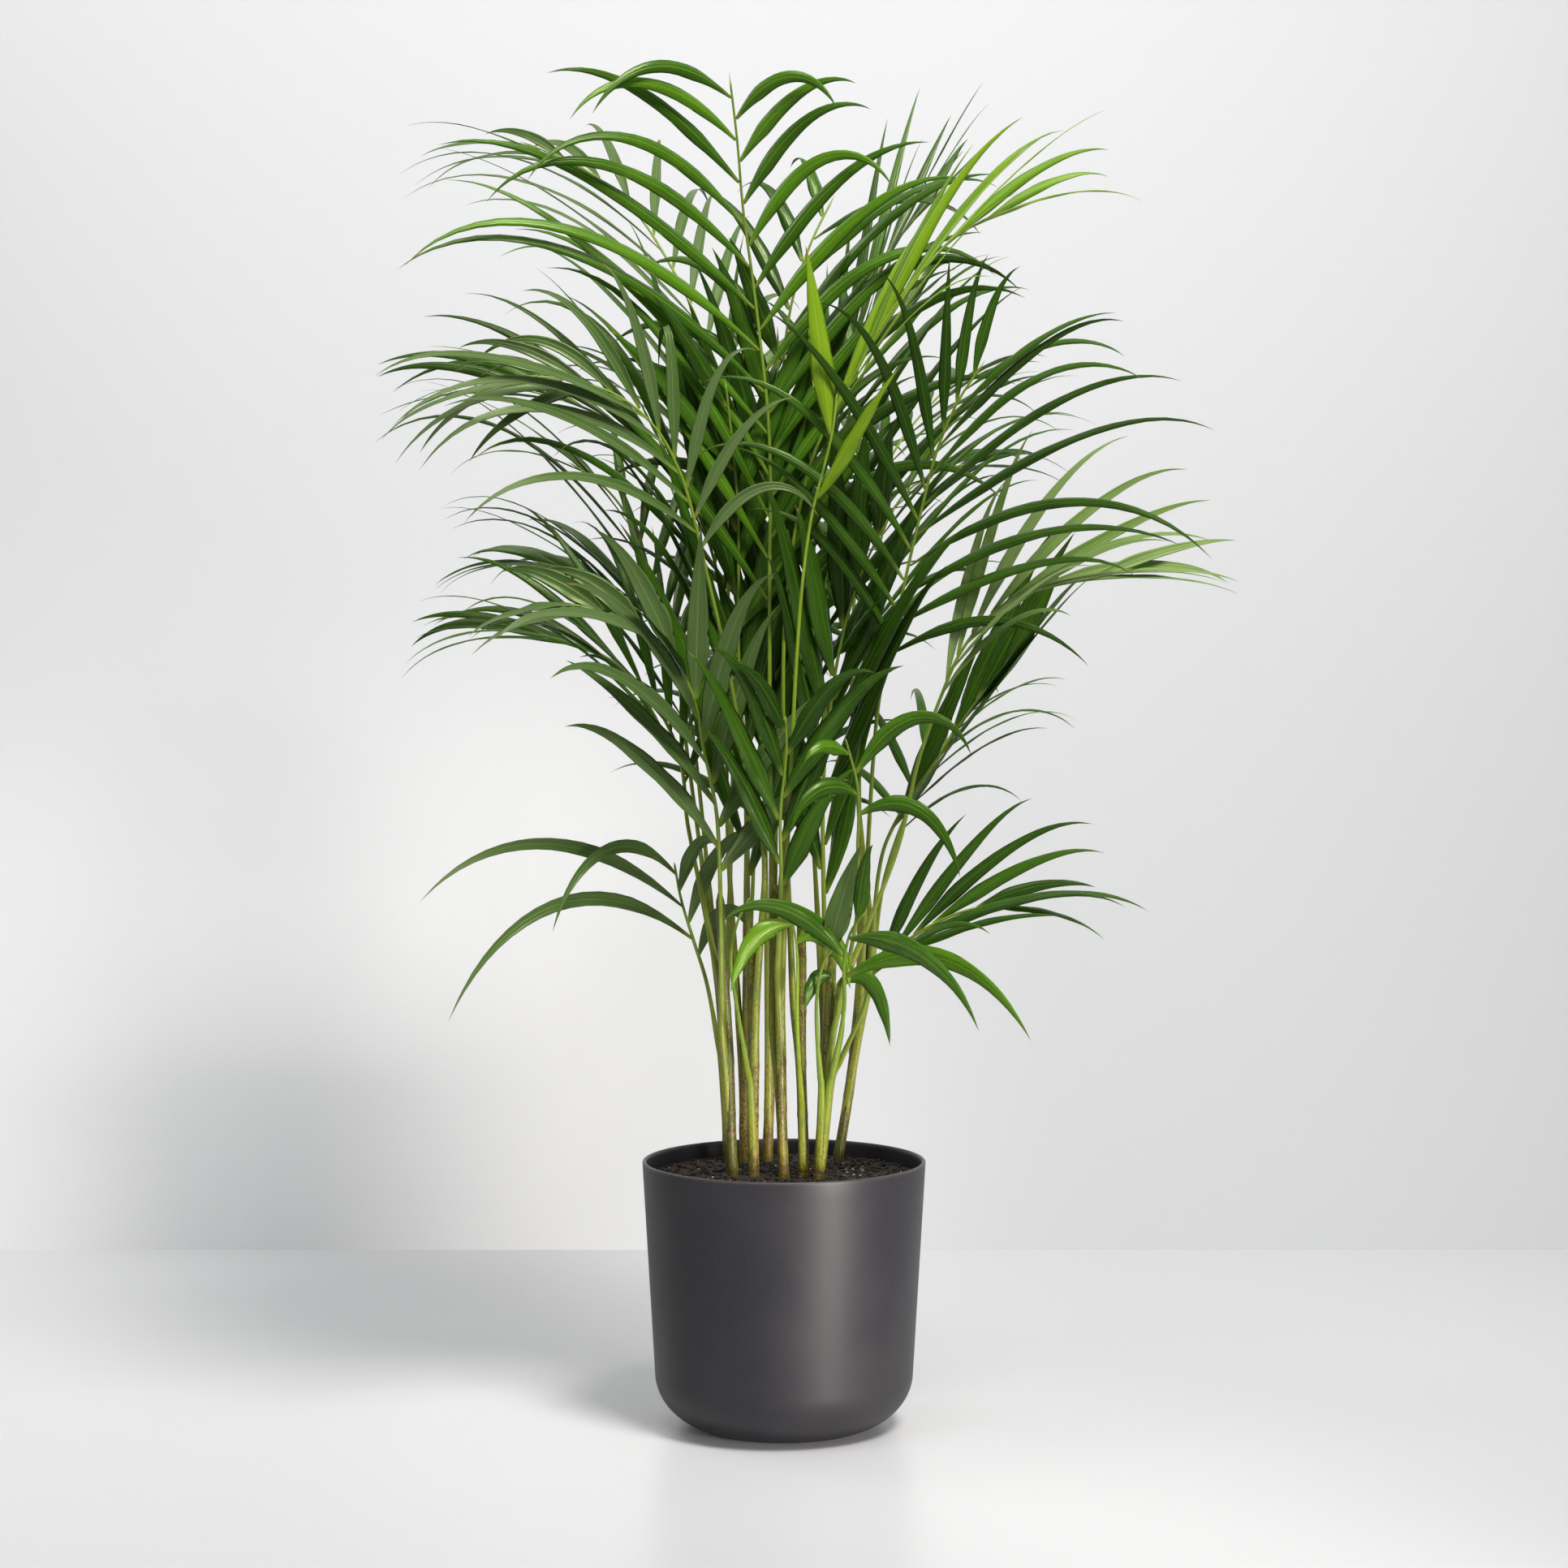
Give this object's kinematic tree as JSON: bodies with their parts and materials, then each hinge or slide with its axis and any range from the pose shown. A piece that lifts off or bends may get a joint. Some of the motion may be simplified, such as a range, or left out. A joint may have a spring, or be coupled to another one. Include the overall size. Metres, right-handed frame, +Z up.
{
  "type": "potted palm",
  "caption": "Clump-forming feather palm with arching pinnate fronds on slim upright canes, growing in soil in a plain round tapered pot.",
  "frame": {"origin": "centre of the pot's flat underside, on the floor", "axes": "+Z up along the pot's axis, -Y the plant's front, +X its right as seen from the front"},
  "size_m": [0.6515, 0.667, 1.0659],
  "materials": {
    "pot_plastic": "satin anthracite with a fine speckle",
    "potting_soil": "rough crumbly peat",
    "cane": "smooth living cane with brown flecks",
    "leaf_fresh": "satin living leaf, fresh green",
    "leaf_deep": "satin living leaf, deep green",
    "leaf_grey": "satin living leaf, grey-green",
    "leaf_pale": "satin living leaf, pale green",
    "leaf_lime": "satin young leaf, lime green"
  },
  "bodies": {
    "root": {"cane_a": "cane", "cane_b": "cane", "cane_c": "cane", "cane_d": "cane", "cane_e": "cane", "cane_f": "cane", "cane_g": "cane", "cane_h": "cane", "cane_i": "cane", "cane_j": "cane", "frond_arch_right_top": "leaf_deep", "frond_back_left": "leaf_deep", "frond_back_low": "leaf_deep", "frond_back_middle": "leaf_deep", "frond_back_right": "leaf_deep", "frond_core_left": "leaf_deep", "frond_core_low": "leaf_deep", "frond_core_middle": "leaf_deep", "frond_core_right": "leaf_deep", "frond_crown": "leaf_fresh", "frond_fan_right": "leaf_deep", "frond_front_curl": "leaf_fresh", "frond_front_hanging": "leaf_deep", "frond_front_low": "leaf_lime", "frond_front_right_low": "leaf_fresh", "frond_left_dark": "leaf_deep", "frond_left_grey": "leaf_grey", "frond_left_high": "leaf_grey", "frond_left_low": "leaf_grey", "frond_left_mid": "leaf_deep", "frond_left_mid_back": "leaf_deep", "frond_left_thin": "leaf_deep", "frond_low_grey_left": "leaf_grey", "frond_low_grey_right": "leaf_grey", "frond_plume_left": "leaf_grey", "frond_right_back": "leaf_deep", "frond_right_blades": "leaf_deep", "frond_right_front": "leaf_deep", "frond_right_inner": "leaf_deep", "frond_right_low": "leaf_deep", "frond_right_low_arch": "leaf_deep", "frond_right_pale": "leaf_pale", "frond_spear_middle": "leaf_lime", "frond_spear_right": "leaf_lime", "pot": "pot_plastic", "soil": "potting_soil"}
  },
  "joints": []
}
